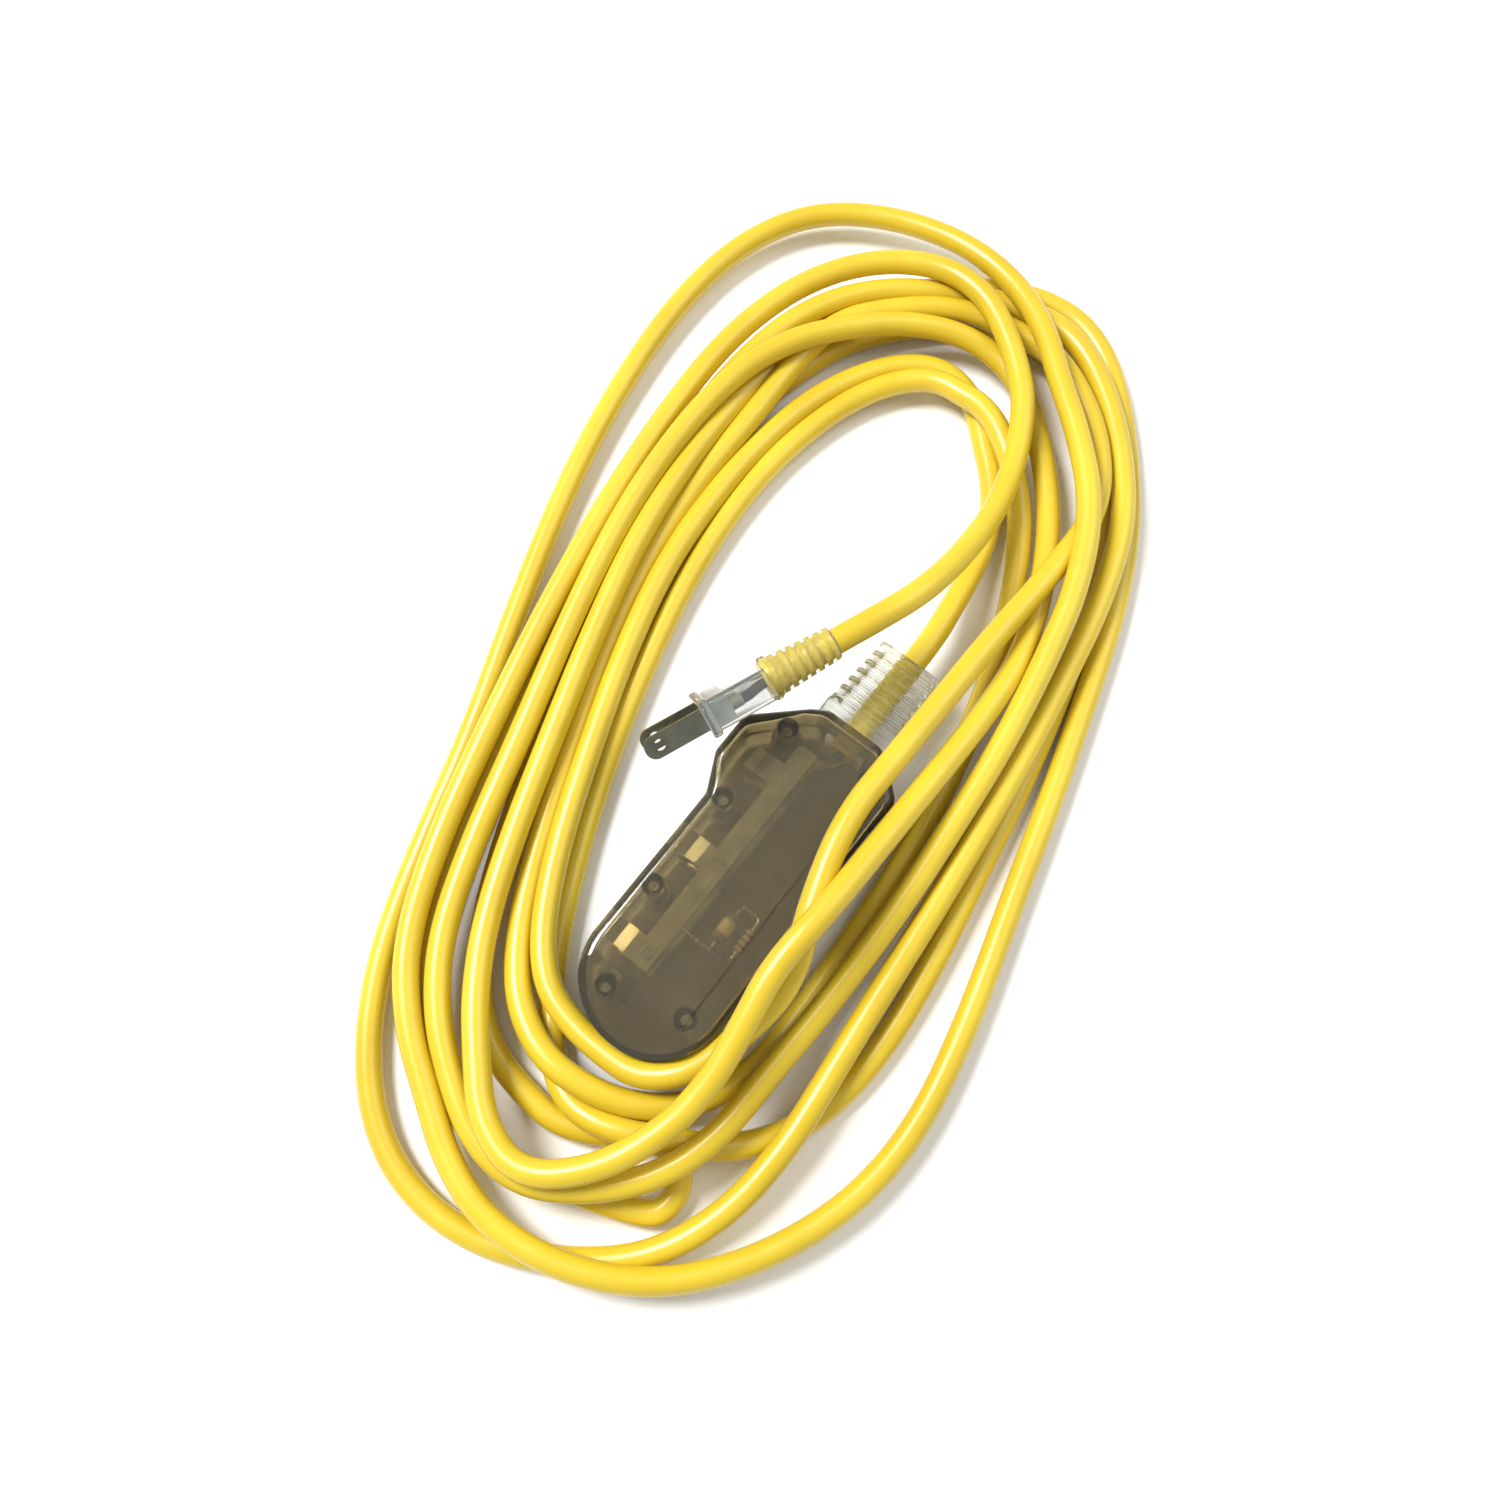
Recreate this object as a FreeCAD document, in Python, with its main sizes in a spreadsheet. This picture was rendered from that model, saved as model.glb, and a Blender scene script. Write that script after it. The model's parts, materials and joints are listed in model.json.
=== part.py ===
import FreeCAD, Part
import math
import os
import re
import Sketcher

# Three-outlet extension cord: a smoke-clear outlet block, a clear two-blade plug and a round
# two-core cord that lies in a loose oval coil round the block.
#
# Frame: millimetres, +Z up from the surface that everything lies on.  +X runs along the outlet
# block towards its cord, +Y is the way its outlets face, and the origin is under the middle of
# the block and its strain relief.

DIMENSIONS = {
    # outlet block
    "tap_length": 107.0,
    "tap_width": 42.5,
    "tap_height": 27.2,
    "ear_depth": 5.5,
    "ear_start": 67.5,
    "ear_length": 24.0,
    "ear_flank": 11.0,
    "shoulder_depth": 10.0,
    "shoulder_step": 3.0,
    "nose_width": 18.0,
    "wall": 2.2,
    "near_radius": 21.0,
    "side_radius": 5.0,
    "edge_radius": 3.0,
    "inner_edge_radius": 1.2,
    "slope_run": 14.0,
    "slope_drop": 8.0,
    "deck_rise": 0.8,
    "deck_width": 17.5,
    "deck_length": 82.0,
    "deck_inset": 8.3,
    # outlets: two flat slots one above the other
    "outlet_pitch": 30.0,
    "outlet_first": 24.0,
    "blade_gap": 12.7,
    "slot_long": 7.8,
    "slot_high": 2.2,
    # spring contacts and the strips that join them
    "clip_width": 7.0,
    "clip_depth": 15.0,
    "clip_half": 1.9,
    "clip_sheet": 0.5,
    "clip_throat": 0.5,
    "clip_mouth": 1.5,
    "clip_setback": 0.5,
    "bar_width": 6.0,
    "bar_sheet": 0.8,
    "bar_overhang": 4.0,
    "bar_tail": 10.5,
    "rivet_radius": 1.1,
    "rivet_head": 1.9,
    "rivet_rise": 0.7,
    "fit": 0.05,
    # housing screws
    "screw_radius": 1.4,
    "screw_head": 2.7,
    "screw_head_rise": 1.6,
    "screw_length": 16.0,
    "screw_sink": 3.0,
    "post_radius": 4.4,
    "upper_post_radius": 3.0,
    # pilot lamp
    "lamp_radius": 2.1,
    "lamp_length": 9.0,
    "lamp_near": 38.0,
    "lamp_back": 15.8,
    "lamp_height": 19.4,
    "resistor_radius": 1.2,
    "resistor_length": 7.0,
    "resistor_back": 9.8,
    "lead_radius": 0.4,
    # cord and its strain relief on the block
    "cord_radius": 3.7,
    "core_radius": 1.45,
    "relief_length": 28.0,
    "relief_width": 25.0,
    "relief_tip_width": 21.0,
    "relief_high": 16.0,
    "relief_tip_high": 12.0,
    "relief_base": 5.0,
    "relief_flange": 2.5,
    "rib_sheet": 1.7,
    "rib_depth": 1.9,
    "neck_width": 13.0,
    "neck_high": 11.0,
    # plug
    "blade_out": 17.5,
    "blade_in": 8.0,
    "blade_width": 6.35,
    "blade_sheet": 1.5,
    "blade_hole": 1.6,
    "blade_hole_back": 4.3,
    "flange_sheet": 2.8,
    "flange_wide": 25.0,
    "flange_across": 10.8,
    "waist_length": 17.0,
    "waist_wide": 18.4,
    "waist_across": 9.2,
    "plug_wall": 1.2,
    "carrier_rim": 0.12,
    "panel_across": 6.4,
    "panel_length": 11.5,
    "panel_sink": 0.7,
    "collar_radius": 6.4,
    "collar_sheet": 3.0,
    "plug_relief_length": 18.0,
    "plug_relief_root": 5.7,
    "plug_relief_tip": 4.8,
    "plug_rib_depth": 0.9,
    "crimp_radius": 1.9,
    "crimp_length": 4.5,
    # where the plug lies: its flange's front face, and how it is turned
    "plug_east": 13.2,
    "plug_north": 30.3,
    "plug_up": 37.2,
    "plug_yaw": -22.6,
    "plug_climb": 4.0,
    "plug_roll": 27.0,
    # coil
    "coil_low_side": 17.0,
    "coil_high_side": 36.0,
    "coil_margin": 0.4,
    "coil_gap": 0.4,
}

OUTLETS = 3
TAP_RIBS = 7
PLUG_RIBS = 7
DIRECTIONS = {"x": (1, 0, 0), "y": (0, 1, 0), "z": (0, 0, 1)}

# Screws, as distance from the block's near end and in from its outlet face or its back face.
FRONT_SCREWS = [(11.5, 11.5), (39.0, 4.5), (69.0, 4.5), (95.5, 6.5)]
BACK_SCREWS = [(17.0, 9.0), (97.0, 9.5)]

# The coil's oval has its middle and its long axis here, in the surface's own plane.
COIL_MIDDLE = (35.0, 22.0)
COIL_ANGLE = 17.4

# Innermost and outermost line of the coil's turns, anticlockwise from the far end, as pairs
# (along the oval's long axis, across it).
COIL_RAILS = [
    ((118, -6), (176, 2)), ((106, 13), (165, 46)), ((76, 30), (124, 74)), ((27, 38), (48, 84)),
    ((-30, 38), (-38, 81)), ((-74, 33), (-104, 76)), ((-98, 26), (-146, 56)), ((-112, 9), (-162, 20)),
    ((-110, -13), (-158, -25)), ((-93, -27), (-132, -60)), ((-60, -37), (-92, -77)), ((-12, -48), (-30, -82)),
    ((38, -53), (34, -86)), ((83, -48), (95, -85)), ((108, -32), (150, -63)), ((116, -19), (170, -36)),
]

# The two stretches of cord that aren't in the coil, point by point.
TAP_CORD_ROUTE = [
    (67.5, -2.75, 13.6), (79.5, -2.75, 13.6), (92.0, -0.9, 11.2), (104.5, 1.0, 7.8),
    (117.0, 3.9, 5.2), (128.5, 8.4, 4.0), (138.0, 15.0, 3.8),
]
PLUG_CORD_ROUTE = [
    (77.0, 5.0, 39.2), (91.0, 3.5, 34.6), (105.0, 3.9, 28.7), (118.0, 5.2, 23.1),
    (131.0, 8.0, 19.5), (143.0, 12.2, 18.0),
]


def sheet_names(text):
    """Put the sheet's name in front of every size that an expression names."""
    return re.sub(r"[a-z][a-z_]+", lambda word: "Sizes." + word.group(0), text)


def start_document():
    document = FreeCAD.newDocument("extension_cord")
    sheet = document.addObject("Spreadsheet::Sheet", "Sizes")
    for row, (name, size) in enumerate(DIMENSIONS.items(), start=1):
        sheet.set(f"A{row}", name)
        sheet.set(f"B{row}", str(size))
        sheet.setAlias(f"B{row}", name)
    document.recompute()
    return document, sheet


doc, sizes = start_document()
nodes = {}


def number(text):
    """The value of an expression in the sheet's sizes."""
    return float(sizes.evalExpression(str(text)))


def bind(item, **properties):
    for name, text in properties.items():
        item.setExpression(name, sheet_names(str(text)))
    return item


def put(item, x="0", y="0", z="0"):
    """Tie an object's place to the sheet."""
    for axis, text in zip("xyz", (x, y, z)):
        item.setExpression(f".Placement.Base.{axis}", sheet_names(str(text)))
    return item


def block(name, low, size):
    """A box from its lowest corner and its three lengths, all as expressions."""
    item = bind(doc.addObject("Part::Box", name), Length=size[0], Width=size[1], Height=size[2])
    return put(item, *low)


def rod(name, radius, length, start, along="z"):
    """A round bar of one radius, from the middle of its first end."""
    item = bind(doc.addObject("Part::Cylinder", name), Radius=radius, Height=length)
    turn = FreeCAD.Rotation(FreeCAD.Vector(0, 0, 1), FreeCAD.Vector(*DIRECTIONS[along]))
    item.Placement = FreeCAD.Placement(FreeCAD.Vector(0, 0, 0), turn)
    return put(item, *start)


def taper(name, root, tip, length, start):
    """A round bar along +X that narrows from its root to its tip."""
    item = bind(doc.addObject("Part::Cone", name), Radius1=root, Radius2=tip, Height=length)
    turn = FreeCAD.Rotation(FreeCAD.Vector(0, 0, 1), FreeCAD.Vector(1, 0, 0))
    item.Placement = FreeCAD.Placement(FreeCAD.Vector(0, 0, 0), turn)
    return put(item, *start)


def join(name, items):
    item = doc.addObject("Part::MultiFuse", name)
    item.Shapes = items
    return item


def cut(name, base, tool):
    item = doc.addObject("Part::Cut", name)
    item.Base = base
    item.Tool = tool
    return item


def overlap(name, first, second):
    item = doc.addObject("Part::Common", name)
    item.Base = first
    item.Tool = second
    return item


def group(name, items):
    """Several separate solids kept as one object."""
    item = doc.addObject("Part::Compound", name)
    item.Links = items
    return item


def rounded(name, base, radius, test):
    """Round the edges of a Part object that pass a test."""
    doc.recompute()
    chosen = [n for n, edge in enumerate(base.Shape.Edges, start=1) if test(edge)]
    item = doc.addObject("Part::Fillet", name)
    item.Base = base
    item.Edges = [(n, number(radius), number(radius)) for n in chosen]
    return item


def node(item, label):
    item.Label = label
    nodes[label] = item
    return item


def plane_of(body, role):
    return next(feature for feature in body.Origin.OriginFeatures if feature.Role == role)


def sketch(body, name, role, corners, lift="0"):
    """A closed outline of straight lines whose corners are pairs of expressions."""
    item = body.newObject("Sketcher::SketchObject", name)
    item.AttachmentSupport = [(plane_of(body, role), "")]
    item.MapMode = "FlatFace"
    item.setExpression("AttachmentOffset.Base.z", sheet_names(lift))
    points = [FreeCAD.Vector(number(x), number(y), 0) for x, y in corners]
    for start, end in zip(points, points[1:] + points[:1]):
        item.addGeometry(Part.LineSegment(start, end), False)
    for n, (x, y) in enumerate(corners):
        item.addConstraint(Sketcher.Constraint("Coincident", n, 2, (n + 1) % len(corners), 1))
        for kind, text, value in (("DistanceX", x, points[n].x), ("DistanceY", y, points[n].y)):
            row = item.addConstraint(Sketcher.Constraint(kind, -1, 1, n, 1, value))
            item.setExpression(f"Constraints[{row}]", sheet_names(text))
    return item


def pad(body, name, outline, length, side="One side"):
    item = body.newObject("PartDesign::Pad", name)
    item.Profile = outline
    item.SideType = side
    return bind(item, Length=length)


def pocket(body, name, outline, length):
    item = body.newObject("PartDesign::Pocket", name)
    item.Profile = outline
    item.SideType = "Symmetric"
    return bind(item, Length=length)


def round_edges(body, name, base, radius, test):
    """Round the edges of a body's feature that pass a test."""
    doc.recompute()
    chosen = [f"Edge{n}" for n, edge in enumerate(base.Shape.Edges, start=1) if test(edge)]
    item = body.newObject("PartDesign::Fillet", name)
    item.Base = (base, chosen)
    return bind(item, Radius=radius)


def is_upright(edge):
    box = edge.BoundBox
    return box.XLength < 1e-6 and box.YLength < 1e-6


def is_level_at(edge, height):
    box = edge.BoundBox
    return abs(box.ZMin - height) < 1e-6 and abs(box.ZMax - height) < 1e-6


# Places that several pieces share.
NEAR = "(-(tap_length + relief_length) / 2)"
EXIT = f"({NEAR} + tap_length)"
TIP = f"({EXIT} + relief_length)"
BACK = "(-(tap_width + ear_depth) / 2)"
FRONT = f"({BACK} + tap_width)"
AXIS = f"({BACK} + tap_width / 2)"
MID = "(tap_height / 2)"
SHEATH_END = f"({EXIT} - wall - relief_flange - 1)"
CLIP_FRONT = f"({FRONT} - wall - clip_setback)"
BAR_LOW_Y = f"({CLIP_FRONT} - clip_depth)"
PLUG_END = "(flange_sheet + waist_length + collar_sheet + plug_relief_length)"


def outlet_x(which):
    return f"({NEAR} + outlet_first + {which} * outlet_pitch)"


def slot_z(side):
    return f"({MID} + {side} * blade_gap / 2)"

# The waist is never too narrow for its blades, the carrier's rim beside them and its own walls.
WAIST_NEED = "(blade_width + 2 * (plug_wall + carrier_rim + 2 * fit))"
WAIST = f"(waist_across > {WAIST_NEED} ? waist_across : {WAIST_NEED})"


# ---------------------------------------------------------------- outlet block

def block_body(name, inset, edge_radius):
    """The block's outline as a solid, or the hollow inside it when inset is the wall."""
    body = doc.addObject("PartDesign::Body", name)
    outline = sketch(body, name + "_plan", "XY_Plane", [
        (f"{NEAR} + {inset}", f"{BACK} + {inset}"),
        (f"{EXIT} - shoulder_depth - {inset}", f"{BACK} + {inset}"),
        (f"{EXIT} - shoulder_step - {inset}", f"{AXIS} - nose_width / 2 - 4.5"),
        (f"{EXIT} - {inset}", f"{AXIS} - nose_width / 2"),
        (f"{EXIT} - {inset}", f"{AXIS} + nose_width / 2"),
        (f"{EXIT} - shoulder_step - {inset}", f"{AXIS} + nose_width / 2 + 4.5"),
        (f"{NEAR} + ear_start + ear_length - {inset}", f"{FRONT} + ear_depth - {inset}"),
        (f"{NEAR} + ear_start + ear_flank - {inset} / 2", f"{FRONT} + ear_depth - {inset}"),
        (f"{NEAR} + ear_start + {inset} / 2", f"{FRONT} - {inset}"),
        (f"{NEAR} + {inset}", f"{FRONT} - {inset}"),
    ], lift=inset)
    solid = pad(body, name + "_pad", outline, f"tap_height - 2 * {inset}")
    wedge = sketch(body, name + "_slope", "XZ_Plane", [
        (f"{NEAR} + {inset} - slope_run", f"tap_height - slope_drop * 2 - {inset}"),
        (f"{NEAR} + {inset} + slope_run * 2", f"tap_height + slope_drop - {inset}"),
        (f"{NEAR} + {inset} - slope_run", f"tap_height + slope_drop - {inset}"),
    ])
    solid = pocket(body, name + "_wedge", wedge, "tap_width * 4")
    near_x = number(f"{NEAR} + {inset}")
    solid = round_edges(body, name + "_end", solid, f"near_radius - {inset}",
                        lambda e: is_upright(e) and abs(e.BoundBox.XMin - near_x) < 1e-6)
    solid = round_edges(body, name + "_sides", solid, "side_radius", is_upright)
    heights = (number(inset), number(f"tap_height - {inset}"))
    round_edges(body, name + "_edges", solid, edge_radius,
                lambda e: any(is_level_at(e, height) for height in heights))
    return body


def screw_places():
    front = [(f"{NEAR} + {along}", f"{FRONT} - {inwards}") for along, inwards in FRONT_SCREWS]
    return front + [(f"{NEAR} + {along}", f"{BACK} + {inwards}") for along, inwards in BACK_SCREWS]


def posts(name, radius, low, high, envelope):
    """Screw posts, kept inside the block's own outline."""
    bars = [rod(f"{name}_{n}", radius, f"{high} - {low}", (x, y, low))
            for n, (x, y) in enumerate(screw_places())]
    return overlap(name, join(name + "_bars", bars), envelope)


def slot_tools(name, side):
    """The flat holes that a plug's blades enter, one for each outlet."""
    return [block(f"{name}_{n}",
                  (f"{outlet_x(n)} - slot_long / 2", f"{CLIP_FRONT} - 1",
                   f"{slot_z(side)} - slot_high / 2"),
                  ("slot_long", "wall + ear_depth + 6", "slot_high"))
            for n in range(OUTLETS)]


def neck_tool(name):
    return block(name, (f"{EXIT} - wall - 4", f"{AXIS} - neck_width / 2", f"{MID} - neck_high / 2"),
                 ("wall + 8", "neck_width", "neck_high"))


def half_space(name, low, high):
    return block(name, (f"{NEAR} - 20", f"{BACK} - 20", low),
                 ("tap_length + 60", "tap_width + 60", f"{high} - {low}"))


def make_shells():
    """The two halves of the housing, which meet half way up."""
    outer = block_body("block_outside", "0 * wall", "edge_radius")
    inner = block_body("block_inside", "wall", "inner_edge_radius")
    hollow = cut("block_hollow", outer, inner)

    lower = overlap("lower_half", hollow, half_space("lower_space", "-5", MID))
    lower_posts = posts("lower_posts", "post_radius", "0.5", MID, outer)
    lower_tools = slot_tools("lower_slot", -1) + [neck_tool("lower_neck")]
    for n, (x, y) in enumerate(screw_places()):
        lower_tools.append(rod(f"screw_sink_{n}", "screw_head + 2 * fit", "screw_sink + 5", (x, y, "-5")))
        lower_tools.append(rod(f"screw_way_{n}", "screw_radius + 0.3", "tap_height", (x, y, "0.1")))
    lower_full = join("lower_full", [lower, lower_posts])
    node(cut("lower_cut", lower_full, join("lower_tools", lower_tools)), "lower_shell")

    upper = overlap("upper_half", hollow, half_space("upper_space", MID, "tap_height + 5"))
    upper_posts = posts("upper_posts", "upper_post_radius", MID, "tap_height - 0.8", outer)
    deck = rounded("deck", block("deck_plate",
                                 (f"{NEAR} + slope_run + 0.6", f"{BACK} + deck_inset", "tap_height - 0.5"),
                                 ("deck_length", "deck_width", "deck_rise + 0.5")), "1", is_upright)
    upper_tools = slot_tools("upper_slot", 1) + [neck_tool("upper_neck")]
    for n, (x, y) in enumerate(screw_places()):
        upper_tools.append(rod(f"screw_grip_{n}", "screw_radius + fit",
                               f"screw_sink + screw_length + 0.6 - {MID} + 1", (x, y, f"{MID} - 1")))
    upper_full = join("upper_full", [upper, upper_posts, deck])
    node(cut("upper_cut", upper_full, join("upper_tools", upper_tools)), "upper_shell")


def make_screws():
    """Pan-head screws that come up through the lower half, all alike."""
    screws = []
    for n, (x, y) in enumerate(screw_places()):
        head = rod(f"screw_head_{n}", "screw_head", "screw_head_rise", (x, y, "screw_sink - screw_head_rise"))
        shank = rod(f"screw_shank_{n}", "screw_radius", "screw_length", (x, y, "screw_sink"))
        drive_low = "screw_sink - screw_head_rise - 1"
        drive = [block(f"screw_drive_{n}_{k}", (f"{x} - {long}", f"{y} - {wide}", drive_low),
                       (f"2 * {long}", f"2 * {wide}", "1.7"))
                 for k, (long, wide) in enumerate(((1.5, 0.35), (0.35, 1.5)))]
        screws.append(cut(f"screw_{n}", join(f"screw_blank_{n}", [head, shank]),
                          join(f"screw_cross_{n}", drive)))
    node(group("screws", screws), "housing_screws")


def rivet_y():
    return f"({BAR_LOW_Y} + bar_width / 2)"


def crimp_x():
    return f"({outlet_x(OUTLETS - 1)} + clip_width / 2 + 0.8)"


def crimp_y():
    return f"({BAR_LOW_Y} + crimp_radius)"


def make_contact(label, which, side):
    """A folded spring that grips a blade between two leaves, open towards the outlet."""
    body = doc.addObject("PartDesign::Body", label + "_body")
    depth = f"{BAR_LOW_Y}"
    leaf = [("0", "clip_half"), ("clip_depth * 0.55", "clip_half"),
            ("clip_depth * 0.8", "clip_throat + clip_sheet"), ("clip_depth", "clip_mouth + clip_sheet"),
            ("clip_depth", "clip_mouth"), ("clip_depth * 0.8", "clip_throat"),
            ("clip_depth * 0.55", "clip_half - clip_sheet"), ("clip_sheet", "clip_half - clip_sheet")]
    mirrored = [(along, f"-({up})") for along, up in reversed(leaf)]
    outline = sketch(body, label + "_profile", "YZ_Plane",
                     [(f"{depth} + {along}", f"{slot_z(side)} + {up}") for along, up in leaf + mirrored],
                     lift=outlet_x(which))
    pad(body, label + "_pad", outline, "clip_width", side="Symmetric")
    hole = rod(label + "_hole", "rivet_radius + fit", "clip_half * 2",
               (outlet_x(which), rivet_y(), f"{slot_z(side)} + {min(side, 0)} * clip_half * 2"))
    node(cut(label + "_cut", body, hole), label)


def bar_face(side):
    """Height of the face of a strip that lies on its contacts."""
    return f"({slot_z(side)} + {side} * clip_half)"


def make_bus_bar(label, side):
    """The flat strip that joins the three contacts of one pole."""
    low = bar_face(side) if side > 0 else f"({bar_face(side)} - bar_sheet)"
    strip = block(label + "_strip", (f"{outlet_x(0)} - bar_overhang", BAR_LOW_Y, low),
                  (f"{outlet_x(OUTLETS - 1)} - {outlet_x(0)} + bar_overhang + bar_tail",
                   "bar_width", "bar_sheet"))
    strip = rounded(label + "_corners", strip, "1", is_upright)
    holes = [rod(f"{label}_hole_{n}", "rivet_radius + fit", "bar_sheet + 2",
                 (outlet_x(n), rivet_y(), f"{low} - 1"))
             for n in range(OUTLETS)]
    node(cut(label + "_cut", strip, join(label + "_holes", holes)), label)


def make_rivets(label, side):
    """Rivets that hold one pole's contacts to its strip."""
    rivets = []
    shank_length = "clip_sheet + bar_sheet"
    for n in range(OUTLETS):
        inside = f"({bar_face(side)} - {side} * clip_sheet)"
        low = inside if side > 0 else f"({inside} - clip_sheet - bar_sheet)"
        shank = rod(f"{label}_shank_{n}", "rivet_radius", shank_length, (outlet_x(n), rivet_y(), low))
        head_low = f"{low} + {shank_length}" if side > 0 else f"{low} - rivet_rise"
        foot_low = f"{low} - 0.4" if side > 0 else f"{low} + {shank_length}"
        head = rod(f"{label}_head_{n}", "rivet_head", "rivet_rise", (outlet_x(n), rivet_y(), head_low))
        foot = rod(f"{label}_foot_{n}", "rivet_head * 0.85", "0.4", (outlet_x(n), rivet_y(), foot_low))
        rivets.append(join(f"{label}_{n}", [shank, head, foot]))
    node(group(label + "_all", rivets), label)


# ---------------------------------------------------------------- wires

def round_path(points, least=0.0):
    """Straight runs joined by tangent arcs, each arc as large as its two runs allow."""
    points = [FreeCAD.Vector(*p) for p in points]
    edges, radii, start = [], [], points[0]
    for before, corner, after in zip(points, points[1:], points[2:]):
        first, second = (corner - before), (after - corner)
        turn = first.getAngle(second)
        shorter = min(first.Length, second.Length)
        reach = 0.45 * shorter
        radii.append(reach / math.tan(turn / 2))
        first.normalize()
        second.normalize()
        arc_start, arc_end = corner - first * reach, corner + second * reach
        inward = second - first
        inward.normalize()
        middle = corner + inward * (radii[-1] / math.cos(turn / 2) - radii[-1])
        edges.append(Part.LineSegment(start, arc_start).toShape())
        edges.append(Part.Arc(arc_start, middle, arc_end).toShape())
        start = arc_end
    edges.append(Part.LineSegment(start, points[-1]).toShape())
    assert not radii or min(radii) >= least, f"arc of {min(radii):.1f} mm is under {least} mm"
    return Part.Wire(edges), radii


def tube(label, points, radius, least=0.0):
    """A round wire or cord along a route."""
    path, radii = round_path(points, least)
    heading = FreeCAD.Vector(*points[1]) - FreeCAD.Vector(*points[0])
    ring = Part.Wire([Part.Circle(FreeCAD.Vector(*points[0]), heading, radius).toShape()])
    item = doc.addObject("Part::Feature", label + "_tube")
    item.Shape = path.makePipeShell([ring], True, False)
    item.Placement = FreeCAD.Placement()
    expected = math.pi * radius ** 2 * path.Length
    print(f"{label}: length {path.Length:.1f} mm, volume / (section x length) "
          f"{item.Shape.Volume / expected:.4f}, radii " + " ".join(f"{r:.0f}" for r in radii))
    return node(item, label)


def make_cores(label, side):
    """One insulated core, from the end of the sheath to its strip's crimp."""
    start_x, start_y = number(SHEATH_END), number(AXIS)
    start_z = number(f"{MID} + {side} * (core_radius + fit)")
    end_x, end_y = number(f"{crimp_x()} + crimp_length"), number(crimp_y())
    end_z = number(f"{bar_face(side)} - {side} * crimp_radius")
    straight = 2.4
    tube(label, [(start_x, start_y, start_z), (start_x - straight, start_y, start_z),
                 (end_x + straight, end_y, end_z), (end_x, end_y, end_z)], number("core_radius"))


def make_crimps(label, side):
    """The barrel that a core ends in, on the inner face of its strip."""
    barrel = rod(label + "_barrel", "crimp_radius", "crimp_length",
                 (crimp_x(), crimp_y(), f"{bar_face(side)} - {side} * crimp_radius"), "x")
    node(barrel, label)


def make_lamp():
    """The pilot lamp, its resistor and their leads to the two strips."""
    x0, y0, z0 = f"{NEAR} + lamp_near", f"{BACK} + lamp_back", "lamp_height"
    bulb = rod("lamp_bulb", "lamp_radius", "lamp_length", (x0, y0, z0), "x")
    node(rounded("lamp_round", bulb, "1.2", lambda edge: True), "pilot_lamp")
    resistor = rod("resistor_rod", "resistor_radius", "resistor_length",
                   (f"{x0} + 1", f"{BACK} + resistor_back", z0), "x")
    node(rounded("resistor_round", resistor, "0.6", lambda edge: True), "lamp_resistor")

    left, right = number(x0), number(f"{x0} + lamp_length")
    lamp_y, lamp_z = number(y0), number(z0)
    resistor_y = number(f"{BACK} + resistor_back")
    resistor_left, resistor_right = number(f"{x0} + 1"), number(f"{x0} + 1 + resistor_length")
    lead, bar_y = number("lead_radius"), number(f"{BAR_LOW_Y} + 1.4")
    gap = number("fit")
    line_z = number(bar_face(1)) - lead - gap
    neutral_z = number(bar_face(-1)) + lead + gap
    tube("lamp_lead_line", [
        (left, lamp_y, lamp_z), (left - 3, lamp_y, lamp_z), (left - 3.2, lamp_y + 4, lamp_z),
        (left - 3.2, bar_y - 3.5, line_z - 0.6), (left - 3.0, bar_y, line_z)], lead)
    tube("lamp_bridge", [
        (right, lamp_y, lamp_z), (right + 2.6, lamp_y, lamp_z),
        (right + 2.8, (lamp_y + resistor_y) / 2, lamp_z - 0.2),
        (right + 2.6, resistor_y, lamp_z), (resistor_right, resistor_y, lamp_z)], lead)
    tube("lamp_lead_neutral", [
        (resistor_left, resistor_y, lamp_z), (resistor_left - 3, resistor_y, lamp_z),
        (resistor_left - 3.4, resistor_y, lamp_z - 4), (resistor_left - 3.4, resistor_y + 2, neutral_z + 4),
        (resistor_left - 3.3, resistor_y + 7, neutral_z + 0.4),
        (resistor_left - 3.2, bar_y, neutral_z)], lead)


# ---------------------------------------------------------------- strain relief on the block

def relief_at(first, last, along):
    """A size part way along the strain relief."""
    return f"({first} + ({last} - {first}) * ({along}) / relief_length)"


def relief_slab(name, start, thick, inset):
    """A flat slab across the cord that follows the strain relief's taper."""
    wide = f"{relief_at('relief_width', 'relief_tip_width', start)} - 2 * {inset}"
    high = f"{relief_at('relief_high', 'relief_tip_high', start)} - 2 * {inset}"
    slab = block(name, (f"{EXIT} + {start}", f"{AXIS} - ({wide}) / 2", f"{MID} - ({high}) / 2"),
                 (thick, wide, high))
    runs_along_x = (lambda edge: edge.BoundBox.YLength < 1e-6 and edge.BoundBox.ZLength < 1e-6)
    return rounded(name + "_round", slab, "3", runs_along_x)


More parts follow.
